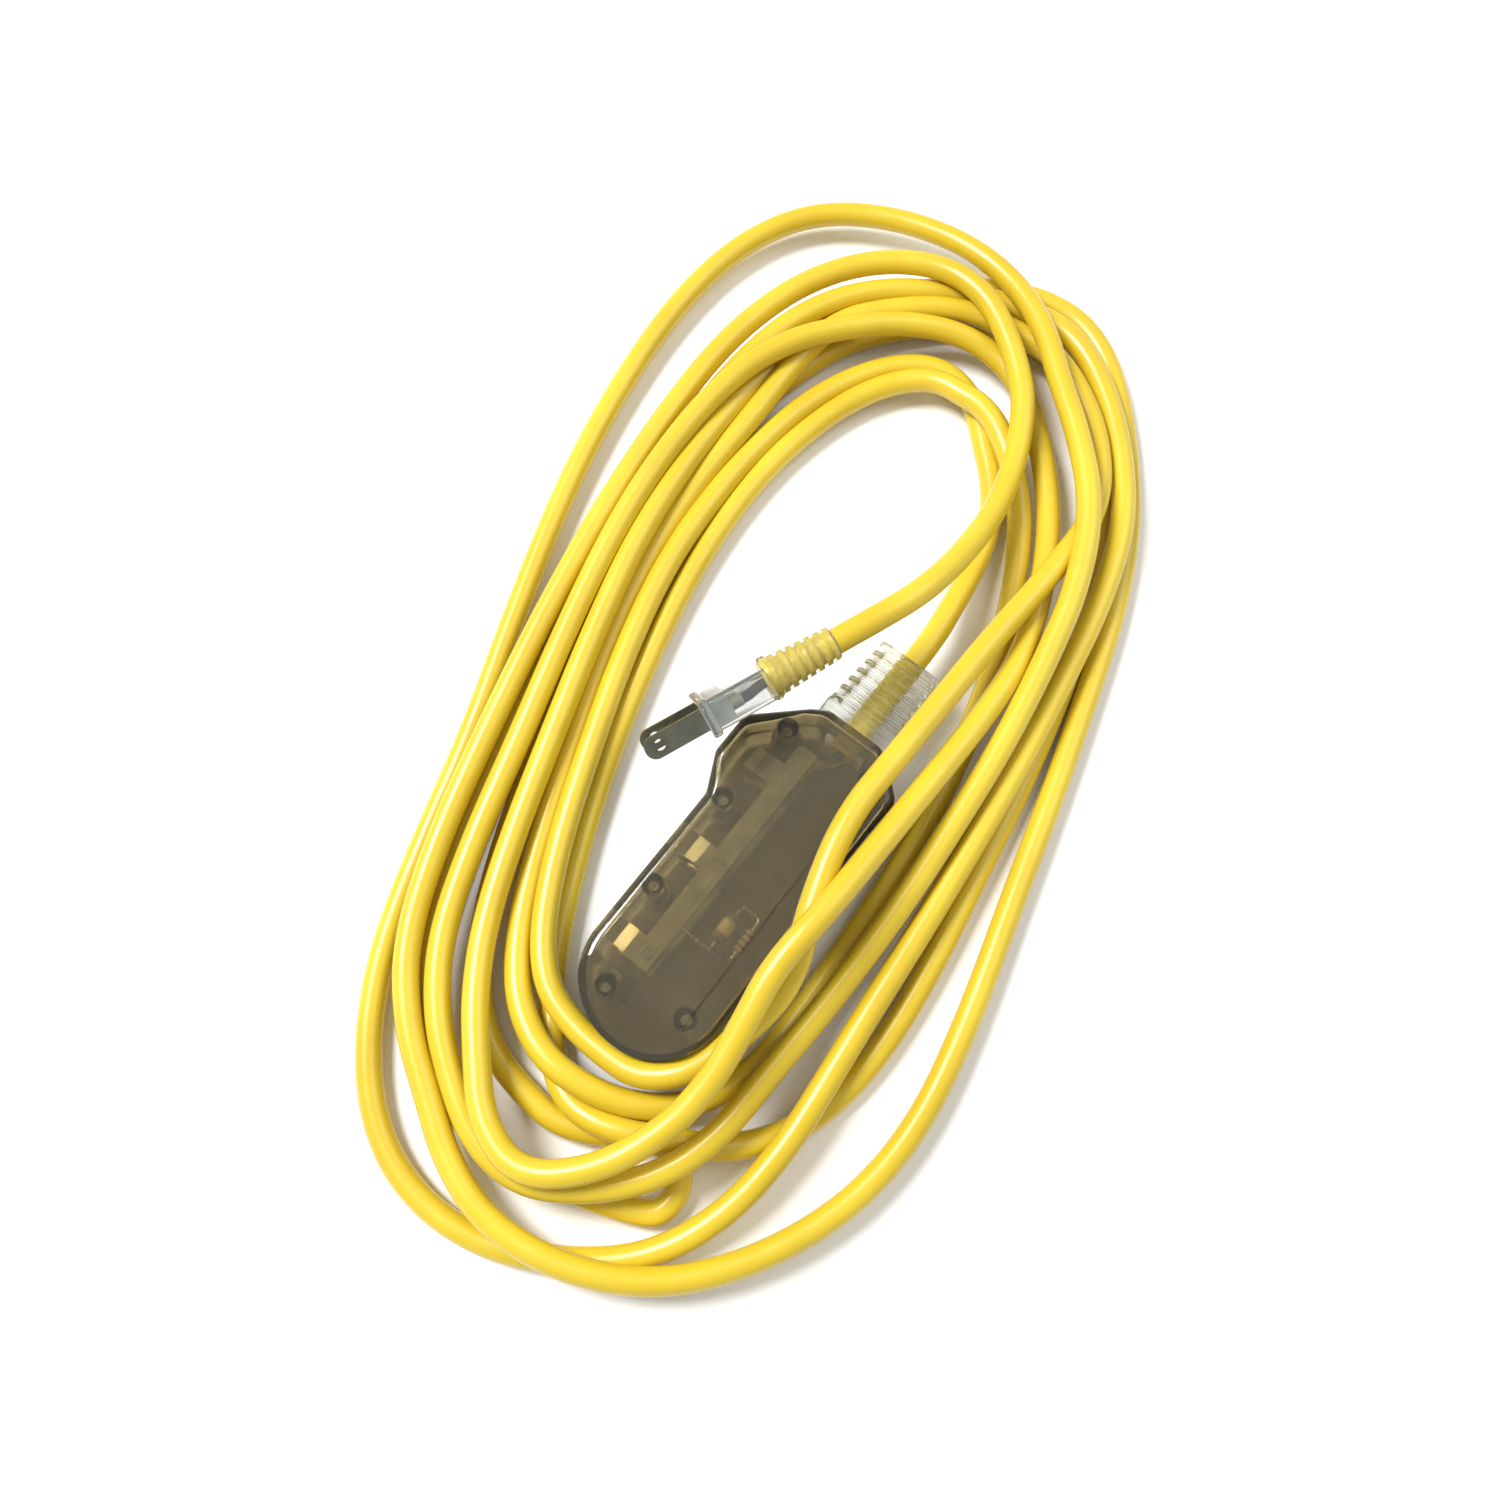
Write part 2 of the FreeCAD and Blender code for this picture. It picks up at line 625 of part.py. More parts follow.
def make_tap_relief():
    """The wide ribbed sleeve that is moulded on the cord and held by the block's end wall."""
    pitch = f"((relief_length - relief_base - rib_sheet) / {TAP_RIBS - 1})"
    pieces = [relief_slab("relief_root", "0", "relief_base", "0")]
    for n in range(TAP_RIBS):
        start = f"relief_base + {n} * {pitch}"
        pieces.append(relief_slab(f"relief_rib_{n}", start, "rib_sheet", "0"))
        if n:
            pieces.append(relief_slab(f"relief_web_{n}", f"relief_base + {n - 1} * {pitch} + rib_sheet / 2",
                                      pitch, "rib_depth"))
    neck = block("relief_neck", (f"{EXIT} - wall - 0.2", f"{AXIS} - neck_width / 2 + fit",
                                 f"{MID} - neck_high / 2 + fit"),
                 ("wall + 0.6", "neck_width - 2 * fit", "neck_high - 2 * fit"))
    flange = block("relief_collar", (f"{EXIT} - wall - fit - relief_flange", f"{AXIS} - neck_width / 2 - 1.5",
                                     f"{MID} - neck_high / 2 - 1.5"),
                   ("relief_flange", "neck_width + 3", "neck_high + 3"))
    whole = join("relief_whole", pieces + [neck, flange])
    bore = rod("relief_bore", "cord_radius + fit", "relief_length + 30",
               (f"{SHEATH_END} - 5", AXIS, MID), "x")
    node(cut("relief_cut", whole, bore), "tap_strain_relief")


def make_tap_sheath():
    """The stretch of cord sheath inside the block's strain relief."""
    sheath = rod("tap_sheath_rod", "cord_radius", f"{TIP} - {SHEATH_END}", (SHEATH_END, AXIS, MID), "x")
    node(sheath, "tap_sheath")


# ---------------------------------------------------------------- plug
# The plug's pieces are drawn along +X from its flange, its blades along -X and one above the
# other, and every finished piece then takes the same place and turn.

def plug_placement():
    turn = FreeCAD.Rotation(number("plug_yaw"), -number("plug_climb"), number("plug_roll"))
    place = FreeCAD.Vector(number("plug_east"), number("plug_north"), number("plug_up"))
    return FreeCAD.Placement(place, turn)


def plug_node(item, label):
    """Lay a finished plug piece where the plug lies."""
    whole = doc.addObject("Part::Compound", label + "_laid")
    whole.Links = [item]
    whole.Placement = plug_placement()
    put(whole, "plug_east", "plug_north", "plug_up")
    return node(whole, label)


def make_plug_body():
    """The clear moulding: a flange, a waist with a sunk panel on each narrow side, and its hollow."""
    flange = block("flange_plate", ("0", "-flange_across / 2", "-flange_wide / 2"),
                   ("flange_sheet", "flange_across", "flange_wide"))
    runs_along_x = (lambda edge: edge.BoundBox.YLength < 1e-6 and edge.BoundBox.ZLength < 1e-6)
    flange = rounded("flange_corners", flange, "4", runs_along_x)
    flange = rounded("flange_edges", flange, "0.8", lambda edge: edge.BoundBox.XLength < 1e-6)
    waist = block("waist_block", ("flange_sheet / 2", f"-{WAIST} / 2", "-waist_wide / 2"),
                  ("flange_sheet / 2 + waist_length", WAIST, "waist_wide"))
    waist = rounded("waist_corners", waist, "1.6", runs_along_x)
    tools = [block("plug_hollow",
                   ("flange_sheet / 2", f"-{WAIST} / 2 + plug_wall", "-waist_wide / 2 + plug_wall"),
                   ("flange_sheet / 2 + waist_length + 1", f"{WAIST} - 2 * plug_wall",
                    "waist_wide - 2 * plug_wall"))]
    for side, low in ((1, "waist_wide / 2 - panel_sink"), (-1, "-waist_wide / 2 - 1")):
        tools.append(block(f"panel_{side + 1}", ("flange_sheet + 2.2", "-panel_across / 2", low),
                           ("panel_length", "panel_across", "panel_sink + 1")))
        tools.append(block(f"blade_way_{side + 1}",
                           ("-1", "-blade_width / 2 - fit",
                            f"{side} * blade_gap / 2 - blade_sheet / 2 - fit"),
                           ("flange_sheet + 2", "blade_width + 2 * fit", "blade_sheet + 2 * fit")))
    whole = join("plug_whole", [flange, waist])
    plug_node(cut("plug_body_cut", whole, join("plug_tools", tools)), "plug_body")


def make_blade(label, side):
    """A flat blade with a rounded tip and a hole near it."""
    body = doc.addObject("PartDesign::Body", label + "_body")
    outline = sketch(body, label + "_profile", "XY_Plane", [
        ("-blade_out", "-blade_width / 2"), ("blade_in", "-blade_width / 2"),
        ("blade_in", "blade_width / 2"), ("-blade_out", "blade_width / 2")],
        lift=f"{side} * blade_gap / 2")
    solid = pad(body, label + "_pad", outline, "blade_sheet", side="Symmetric")
    tip = number("-blade_out")
    round_edges(body, label + "_tip", solid, "blade_width / 2 - 0.15",
                lambda e: is_upright(e) and abs(e.BoundBox.XMin - tip) < 1e-6)
    hole = rod(label + "_hole", "blade_hole", "blade_sheet + 2",
               ("blade_hole_back - blade_out", "0", f"{side} * blade_gap / 2 - blade_sheet / 2 - 1"))
    plug_node(cut(label + "_cut", body, hole), label)


def make_carrier():
    """The pale insert that holds both blades inside the clear moulding."""
    solid = block("carrier_block", ("flange_sheet / 2 + fit", f"-{WAIST} / 2 + plug_wall + fit",
                                    "-waist_wide / 2 + plug_wall + fit"),
                  ("blade_in - flange_sheet / 2", f"{WAIST} - 2 * plug_wall - 2 * fit",
                   "waist_wide - 2 * plug_wall - 2 * fit"))
    ways = [block(f"carrier_way_{side + 1}",
                  ("-2", "-blade_width / 2 - fit", f"{side} * blade_gap / 2 - blade_sheet / 2 - fit"),
                  ("blade_in + 6", "blade_width + 2 * fit", "blade_sheet + 2 * fit")) for side in (-1, 1)]
    middle = block("carrier_slit", ("flange_sheet / 2 + 2", f"-{WAIST}", "-1.6"),
                   ("blade_in", f"2 * {WAIST}", "3.2"))
    plug_node(cut("carrier_cut", solid, join("carrier_tools", ways + [middle])), "blade_carrier")


def make_plug_crimp(label, side):
    barrel = rod(label + "_barrel", "crimp_radius * 0.9", "crimp_length - 1",
                 ("blade_in + fit", "0", f"{side} * (blade_gap / 2 - 0.5)"), "x")
    plug_node(barrel, label)


def make_plug_core(label, side):
    """One insulated core between the plug's sheath and its blade's crimp."""
    start, end = number("blade_in + fit + crimp_length - 1"), number("flange_sheet + waist_length")
    high, low = side * number("blade_gap / 2 - 0.5"), side * number("core_radius + fit")
    straight = 2.0
    path, _ = round_path([(start, 0, high), (start + straight, 0, high),
                          (end - straight, 0, low), (end, 0, low)])
    section = Part.Circle(FreeCAD.Vector(start, 0, high), FreeCAD.Vector(1, 0, 0), number("core_radius"))
    ring = Part.Wire([section.toShape()])
    item = doc.addObject("Part::Feature", label + "_wire")
    item.Shape = path.makePipeShell([ring], True, False)
    plug_node(item, label)


def make_collar():
    """The round collar between the plug's waist and its strain relief."""
    disc = rod("collar_disc", "collar_radius", "collar_sheet", ("flange_sheet + waist_length", "0", "0"), "x")
    disc = rounded("collar_edges", disc, "1", lambda edge: len(edge.Vertexes) == 1)
    bore = rod("collar_bore", "cord_radius + fit", "collar_sheet + 4",
               ("flange_sheet + waist_length - 2", "0", "0"), "x")
    plug_node(cut("collar_cut", disc, bore), "plug_collar")


def make_plug_relief():
    """The ribbed clear sleeve behind the plug's collar."""
    start = "flange_sheet + waist_length + collar_sheet"
    core = taper("plug_relief_core", "plug_relief_root - plug_rib_depth", "plug_relief_tip - plug_rib_depth",
                 "plug_relief_length", (start, "0", "0"))
    pitch = f"((plug_relief_length - rib_sheet) / {PLUG_RIBS - 1})"
    ribs = [core]
    for n in range(PLUG_RIBS):
        radius = f"plug_relief_root + (plug_relief_tip - plug_relief_root) * {n} / {PLUG_RIBS - 1}"
        ribs.append(rod(f"plug_rib_{n}", radius, "rib_sheet", (f"{start} + {n} * {pitch}", "0", "0"), "x"))
    bore = rod("plug_relief_bore", "cord_radius + fit", "plug_relief_length + 8",
               (f"{start} - 4", "0", "0"), "x")
    plug_node(cut("plug_relief_cut", join("plug_relief_whole", ribs), bore), "plug_strain_relief")


def make_plug_sheath():
    start = "(flange_sheet + waist_length)"
    sheath = rod("plug_sheath_rod", "cord_radius", f"{PLUG_END} - {start}", (start, "0", "0"), "x")
    plug_node(sheath, "plug_sheath")


# ---------------------------------------------------------------- free cord

def coil_point(along, across, height=0.0):
    """A point of the coil's oval, in the frame of the whole."""
    angle = math.radians(COIL_ANGLE)
    x = COIL_MIDDLE[0] + along * math.cos(angle) - across * math.sin(angle)
    y = COIL_MIDDLE[1] + along * math.sin(angle) + across * math.cos(angle)
    return FreeCAD.Vector(x, y, height)


def smooth_loop(points):
    curve = Part.BSplineCurve()
    curve.interpolate(points, PeriodicFlag=True)
    return Part.Wire([curve.toShape()])


def make_coil():
    """The outer shape of the coil: an oval ring with a leaning top, clear of the outlet block."""
    stand_off = number("cord_radius + coil_margin")
    inner, outer = [], []
    for near, far in COIL_RAILS:
        near, far = coil_point(*near), coil_point(*far)
        outward = far - near
        outward.normalize()
        inner.append(near - outward * stand_off)
        outer.append(far + outward * stand_off)
    ring = Part.Face([smooth_loop(outer), smooth_loop(inner)])
    if not ring.isValid():
        ring.fix(1e-5, 1e-5, 1e-5)
    prism = doc.addObject("Part::Feature", "coil_prism")
    prism.Shape = ring.extrude(FreeCAD.Vector(0, 0, number("coil_high_side + 10")))

    reach = 260.0
    slope = (number("coil_high_side") - number("coil_low_side")) / 170.0
    heights = [number("coil_low_side") - slope * (across - 85.0) for across in (-reach, reach)]
    corners = [coil_point(-reach, -reach), coil_point(-reach, reach),
               coil_point(-reach, reach, heights[1]), coil_point(-reach, -reach, heights[0])]
    lid = doc.addObject("Part::Feature", "coil_lid")
    side = Part.Face(Part.makePolygon(corners + corners[:1]))
    lid.Shape = side.extrude(coil_point(reach, 0) - coil_point(-reach, 0))
    ring = overlap("coil_ring", prism, lid)
    room = block_body("coil_room", "(-coil_gap)", "edge_radius")
    node(cut("coil_round_block", ring, room), "cord_coil")


def tap_cord_route():
    """The chosen points, moved with the relief's tip, the first two on its axis."""
    axis, middle = number(AXIS), number(MID)
    shift = number(TIP) - TAP_CORD_ROUTE[0][0]
    lead = [(x + shift, axis, middle) for x, _, _ in TAP_CORD_ROUTE[:2]]
    return lead + [(x + shift, y, z) for x, y, z in TAP_CORD_ROUTE[2:]]


def make_cords():
    """The cord's two free ends."""
    least = number("cord_radius") * 2 * 5
    tube("tap_cord", tap_cord_route(), number("cord_radius"), least)
    place = plug_placement()
    end = place.multVec(FreeCAD.Vector(number(PLUG_END), 0, 0))
    lead = place.multVec(FreeCAD.Vector(number(PLUG_END) + 14.0, 0, 0))
    start = [(end.x, end.y, end.z), (lead.x, lead.y, lead.z)]
    print("plug cord starts", [tuple(round(c, 2) for c in p) for p in start])
    tube("plug_cord", start + PLUG_CORD_ROUTE, number("cord_radius"), least)


def build():
    make_shells()
    make_screws()
    for side, pole in ((1, "line"), (-1, "neutral")):
        make_bus_bar(pole + "_bus_bar", side)
        for which in range(OUTLETS):
            make_contact(f"{pole}_contact_{which + 1}", which, side)
        make_rivets(pole + "_rivets", side)
        make_crimps(pole + "_crimp", side)
        make_cores(pole + "_core", side)
        make_blade(pole + "_blade", side)
        make_plug_crimp(f"plug_{pole}_crimp", side)
        make_plug_core(f"plug_{pole}_core", side)
    make_lamp()
    make_tap_relief()
    make_tap_sheath()
    make_plug_body()
    make_carrier()
    make_collar()
    make_plug_relief()
    make_plug_sheath()
    make_cords()
    make_coil()
    doc.recompute()


def check_and_write():
    for item in doc.Objects:
        if "Invalid" in item.State or "Error" in item.State:
            raise RuntimeError(f"{item.Name} ({item.Label}) failed: {item.State}")
    os.makedirs("parts", exist_ok=True)
    for label, item in nodes.items():
        shape = item.Shape
        if shape.isNull() or not shape.isValid() or not shape.Solids:
            raise RuntimeError(f"{label} has no valid solid")
        shape.exportStep(f"parts/{label}.step")
    print(f"{len(nodes)} nodes")


build()
check_and_write()
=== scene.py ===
import json
import math

import bpy
import numpy as np
from mathutils import Matrix, Vector

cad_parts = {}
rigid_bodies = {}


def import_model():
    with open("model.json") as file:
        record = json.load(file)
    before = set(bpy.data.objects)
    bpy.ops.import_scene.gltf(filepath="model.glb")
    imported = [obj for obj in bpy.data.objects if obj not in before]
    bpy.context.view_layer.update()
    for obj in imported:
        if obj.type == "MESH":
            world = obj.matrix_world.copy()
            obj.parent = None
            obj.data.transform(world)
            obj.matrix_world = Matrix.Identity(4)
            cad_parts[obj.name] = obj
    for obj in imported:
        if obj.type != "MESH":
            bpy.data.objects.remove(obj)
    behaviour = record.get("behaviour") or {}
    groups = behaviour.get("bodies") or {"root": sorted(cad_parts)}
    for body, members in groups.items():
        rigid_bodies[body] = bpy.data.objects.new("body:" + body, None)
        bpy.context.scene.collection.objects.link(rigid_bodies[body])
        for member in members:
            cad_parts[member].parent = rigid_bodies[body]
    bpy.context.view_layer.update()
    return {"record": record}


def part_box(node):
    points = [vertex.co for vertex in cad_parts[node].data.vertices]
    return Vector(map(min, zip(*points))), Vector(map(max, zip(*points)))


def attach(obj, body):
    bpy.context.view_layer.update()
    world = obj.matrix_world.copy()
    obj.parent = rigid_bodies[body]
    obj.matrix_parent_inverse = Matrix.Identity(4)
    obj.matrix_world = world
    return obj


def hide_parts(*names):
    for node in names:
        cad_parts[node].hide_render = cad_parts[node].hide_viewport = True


# Three-outlet extension cord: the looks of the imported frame.  Metres, in the frame's own axes:
# +X along the outlet block towards its cord, +Y the way its outlets face, +Z up.

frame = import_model()

# ---------------------------------------------------------------- camera

CAMERA_AT = Vector((-0.0549, -0.0397, 0.3422))
CAMERA_LOOKS_AT = Vector((0.0224, 0.0209, 0.0))
CAMERA_RIGHT = Vector((0.6166, -0.7873, 0.0))
CAMERA_LENS = 28.8
CAMERA_SENSOR = 36.0


def add_camera():
    camera = bpy.data.cameras.new("camera")
    camera.sensor_width = CAMERA_SENSOR
    camera.lens = CAMERA_LENS
    camera.clip_start = 0.01
    back = (CAMERA_AT - CAMERA_LOOKS_AT).normalized()
    right = (CAMERA_RIGHT - back * CAMERA_RIGHT.dot(back)).normalized()
    up = back.cross(right)
    holder = bpy.data.objects.new("camera", camera)
    turn = Matrix((right, up, back)).transposed().to_4x4()
    holder.matrix_world = Matrix.Translation(CAMERA_AT) @ turn
    bpy.context.scene.collection.objects.link(holder)
    bpy.context.scene.camera = holder


# ---------------------------------------------------------------- cord

CORD_RADIUS = 0.0037
LOWEST = CORD_RADIUS + 0.0001
CURVE_STEPS = 8
BEVEL_STEPS = 6

# The two stretches that aren't in the coil, as in the part's own model.
TAP_CORD_ROUTE = [
    (0.0675, -0.00275, 0.0136), (0.0795, -0.00275, 0.0136), (0.0920, -0.0009, 0.0112),
    (0.1045, 0.0010, 0.0078), (0.1170, 0.0039, 0.0052), (0.1285, 0.0084, 0.0040),
    (0.1380, 0.0150, 0.0038),
]
PLUG_CORD_ROUTE = [
    (0.05078, 0.01466, 0.04005), (0.06367, 0.00929, 0.04102), (0.0770, 0.0050, 0.0392),
    (0.0910, 0.0035, 0.0346), (0.1050, 0.0039, 0.0287), (0.1180, 0.0052, 0.0231),
    (0.1310, 0.0080, 0.0195), (0.1430, 0.0122, 0.0180),
]

# The coil is a long oval.  Sixteen stations go round it anticlockwise from its far end, each
# with its innermost and outermost place as (along the long axis, across it).
COIL_MIDDLE = (0.035, 0.022)
COIL_ANGLE = math.radians(17.4)
STATIONS = [
    ((0.118, -0.006), (0.176, 0.002)), ((0.106, 0.013), (0.165, 0.046)),
    ((0.076, 0.030), (0.124, 0.074)), ((0.027, 0.038), (0.048, 0.084)),
    ((-0.030, 0.038), (-0.038, 0.081)), ((-0.074, 0.033), (-0.104, 0.076)),
    ((-0.098, 0.026), (-0.146, 0.056)), ((-0.112, 0.009), (-0.162, 0.020)),
    ((-0.110, -0.013), (-0.158, -0.025)), ((-0.093, -0.027), (-0.132, -0.060)),
    ((-0.060, -0.037), (-0.092, -0.077)), ((-0.012, -0.048), (-0.030, -0.082)),
    ((0.038, -0.053), (0.034, -0.086)), ((0.083, -0.048), (0.095, -0.085)),
    ((0.108, -0.032), (0.150, -0.063)), ((0.116, -0.019), (0.170, -0.036)),
]
FIRST_STATION = 14
POINTS_PER_STATION = 2

# Each turn's lane at the stations it passes: 0 is the innermost place and 1 the outermost.
# Each turn's level there: its height above the lowest strands before it settles, in LAYERs.
LAYER = 0.0042
PLUG_TURNS = [
    ([0.21, 0.41, 0.65, 0.63, 0.62, 0.68, 0.85, 0.88, 0.75, 0.93, 0.97, 0.97, 1.02, 1.02, 0.98],
     [4, 4, 3.5, 3, 2, 1.5, 1, 1, 1.5, 2, 1.2, 0, 0, 0, 0.5]),
    ([0.93, 0.95, 0.90, 0.66, 0.50, 0.32, 0.40, 0.42, 0.44, 0.45, 0.64, 0.20, -0.08, -0.19, -0.03, 0.30],
     [1, 0.5, 0.5, 0.5, 0, 0.3, 0.5, 0.7, 1, 2, 3, 4.5, 7, 8, 6, 3.6]),
    ([0.27, 0.30, 0.35, 0.31, 0.29, 0.42, 0.55, 0.62, 0.69, 0.62, 0.68, 0.42, 0.20, 0.22, 0.33, 0.48],
     [3, 2.5, 2.5, 2.5, 2.5, 2, 1.5, 1.5, 1.5, 1.5, 1, 2, 3, 3.3, 3.3, 3.6]),
    ([0.50, 0.46, 0.66, 0.91, 1.03, 1.05, 1.05, 0.99, 1.05, 1.07, 1.05, 0.86, 0.54, 0.43, 0.53, 0.70],
     [4, 3.5, 3, 2, 0.5, 0, 0, 0, 0, 0, 0, 0.5, 2.5, 3, 3, 2.5]),
    ([0.86, 0.80, 0.73, 0.55, 0.46, 0.46, 0.60, 0.75, 0.80, 0.72, 0.64],
     [2, 1.5, 1, 1, 1, 0.6, 0, 0, 0, 0, 0]),
]
TAP_TURNS = [
    ([-0.02, 0.12, 0.16, 0.11, 0.10, 0.22, 0.18, 0.13, 0.03, -0.10, -0.14, -0.06, -0.26, -0.28, 0.00],
     [0, 0, 1.5, 1.5, 1.2, 1, 1, 1, 1.2, 1, 1.5, 4.5, 6.6, 6.2, 4.5]),
    ([0.64, 0.62, 0.55, 0.48, 0.41, 0.24, 0.33, 0.29, 0.27, 0.20, 0.16, 0.10, 0.12, 0.12, 0.15, 0.12],
     [3, 2, 1.5, 1.5, 1.5, 1, 0.8, 0.8, 0.8, 0.8, 0.8, 2, 2, 2, 2, 2]),
    ([0.05, 0.05, 0.03, 0.03, 0, 0, 0.04, 0.06, 0.05, 0.06, 0.24, 0.30, 0.50, 0.62, 0.68, 0.75],
     [1, 1, 0.5, 0, 0, 0, 0, 0, 0, 0, 0.3, 0.8, 1, 1, 1, 1]),
    ([0.76, 0.70, 0.60, 0.42, 0.32, 0.32, 0.46, 0.52, 0.50, 0.42, 0.32],
     [0] * 11),
]

# The hairpin where the cord, wound double, turns back on itself, in the oval's own directions.
FOLD_MIDDLE = (-0.1340, -0.0129)
FOLD_WAY = (0.43, -0.90)
FOLD_RADIUS = 0.0100
FOLD_ANGLES = (-90, -54, -18, 18, 54, 90)

# Settling: the coil's points sink, and are pushed off each other and off the block.
ROUNDS = 240
SAMPLES_PER_POINT = 4
LONGEST_MOVE = 0.0012
# Samples nearer than this along the cord are one stretch and don't push each other.
SAME_STRETCH = 0.022
# A push between strands: how much it leans to the vertical, its sideways share, its least rise.
UPRIGHT_LEAN = 1.6
SIDEWAYS_SHARE = 0.5
LEAST_RISE = 1e-4
# A sample inside the block leaves by its top unless a side is nearer than this share of the way up.
TOP_BIAS = 0.3
# Several pushes on one sample count for less than their sum, by this power of their number.
CROWDING = 0.35
PUSH_GAIN = 1.25
# The sink of each round, and the part of the rounds after which it has faded out.
SINK = 0.00018
SINK_UNTIL = 0.6
# The pull back to the chosen lanes, how much of it fades out, and the smoothing of heights.
LANE_PULL = 0.06
PULL_FADE = 0.8
HEIGHT_SMOOTHING = 0.15

# The outlet block and its strain relief as boxes, each a lowest and a highest corner.
BLOCK_BOXES = [
    ((-0.0465, -0.0240, 0.0), (0.0300, 0.0185, 0.0280)),
    ((-0.0600, -0.0190, 0.0), (-0.0465, 0.0135, 0.0250)),
    ((-0.0660, -0.0110, 0.0), (-0.0600, 0.0060, 0.0200)),
    ((0.0300, -0.0195, 0.0), (0.0345, 0.0160, 0.0272)),
    ((0.0345, -0.0125, 0.0), (0.0395, 0.0120, 0.0272)),
    ((0.0395, -0.0148, 0.0), (0.0540, 0.0095, 0.0213)),
    ((0.0540, -0.0138, 0.0), (0.0675, 0.0085, 0.0203)),
    ((0.0080, 0.0150, 0.0), (0.0270, 0.0240, 0.0280)),
]


def coil_place(along, across, height):
    """A point of the coil in the frame's axes."""
    x = COIL_MIDDLE[0] + along * math.cos(COIL_ANGLE) - across * math.sin(COIL_ANGLE)
    y = COIL_MIDDLE[1] + along * math.sin(COIL_ANGLE) + across * math.cos(COIL_ANGLE)
    return np.array((x, y, height))


def between(values, where, closed=False):
    """The value at a fractional place in a list, on a smooth line through its items."""
    start = math.floor(where)
    part = where - start
    last = len(values) - 1
    picks = [(start + step) % len(values) if closed else min(max(start + step, 0), last)
             for step in (-1, 0, 1, 2)]
    a, b, c, d = (np.asarray(values[pick], float) for pick in picks)
    return b + 0.5 * part * (c - a + part * (2 * a - 5 * b + 4 * c - d + part * (3 * (b - c) + d - a)))


def wind(turns):
    """The control points of one half of the coil, turn after turn."""
    lanes = [lane for turn, _ in turns for lane in turn]
    levels = [level for _, turn in turns for level in turn]
    inner = [station[0] for station in STATIONS]
    outer = [station[1] for station in STATIONS]
    points = []
    for step in range((len(lanes) - 1) * POINTS_PER_STATION + 1):
        where = step / POINTS_PER_STATION
        near = between(inner, FIRST_STATION + where, closed=True)
        far = between(outer, FIRST_STATION + where, closed=True)
        along, across = near + (far - near) * between(lanes, where)
        height = CORD_RADIUS + LAYER * max(float(between(levels, where)), 0)
        points.append(coil_place(along, across, height))
    return points


def fold_points():
    """A half circle on the surface, from the inner strand round to the outer one."""
    middle = coil_place(*FOLD_MIDDLE, LOWEST)
    way = coil_place(*FOLD_WAY, 0) - coil_place(0, 0, 0)
    way /= np.linalg.norm(way)
    outward = np.array((way[1], -way[0], 0))
    return [middle + FOLD_RADIUS * (way * math.cos(a) + outward * math.sin(a))
            for a in np.radians(FOLD_ANGLES)]


def spline_weights(count):
    """How much each control point counts at each sample of an open spline of order three."""
    knots = np.concatenate(([0, 0], np.arange(count - 1), [count - 2, count - 2])).astype(float)
    places = np.linspace(0, count - 2, (count - 2) * SAMPLES_PER_POINT + 1)
    places[-1] = np.nextafter(places[-1], 0)
    weights = np.zeros((len(places), count))
    for row, place in enumerate(places):
        i = int(place) + 2
        left = (place - knots[i]) / (knots[i + 1] - knots[i])
        first = (knots[i + 1] - place) / (knots[i + 1] - knots[i - 1])
        last = (place - knots[i]) / (knots[i + 2] - knots[i])
        weights[row, i - 2] = (1 - left) * first
        weights[row, i] = left * last
        weights[row, i - 1] = 1 - weights[row, i - 2] - weights[row, i]
    return weights


def push_apart(samples, strangers, move, count):
    """Strands nearer than a diameter move off each other, mostly up and down."""
    gap = samples[:, None, :] - samples[None, :, :]
    square = (gap ** 2).sum(axis=2)
    one, other = np.nonzero((square < (2 * CORD_RADIUS) ** 2) & strangers)
    line = gap[one, other]
    distance = np.sqrt(square[one, other])
    rise = np.where(line[:, 2] >= 0, LEAST_RISE, -LEAST_RISE)
    line[:, 2] = line[:, 2] * UPRIGHT_LEAN + rise
    line /= np.linalg.norm(line, axis=1)[:, None]
    line[:, :2] *= SIDEWAYS_SHARE
    np.add.at(move, one, line * ((2 * CORD_RADIUS - distance) / 2)[:, None])
    np.add.at(count, one, 1)


def push_out(samples, low, high, move, count):
    """Samples in a box, or nearer to it than the cord's radius, move out of it."""
    middle = (np.array(low) + high) / 2
    half = (np.array(high) - low) / 2
    offset = samples - middle
    gap = offset - np.clip(offset, -half, half)
    distance = np.linalg.norm(gap, axis=1)
    near = (distance > 0) & (distance < CORD_RADIUS)
    move[near] += gap[near] * ((CORD_RADIUS - distance[near]) / distance[near])[:, None]
    inside = np.nonzero(distance == 0)[0]
    for row in inside:
        depth = half - np.abs(offset[row])
        depth[2] = depth[2] * TOP_BIAS if offset[row][2] > 0 else math.inf
        axis = int(depth.argmin())
        out = half[axis] - abs(offset[row][axis]) + CORD_RADIUS
        move[row][axis] += math.copysign(out / 2, offset[row][axis])
    count[near] += 1
    count[inside] += 1


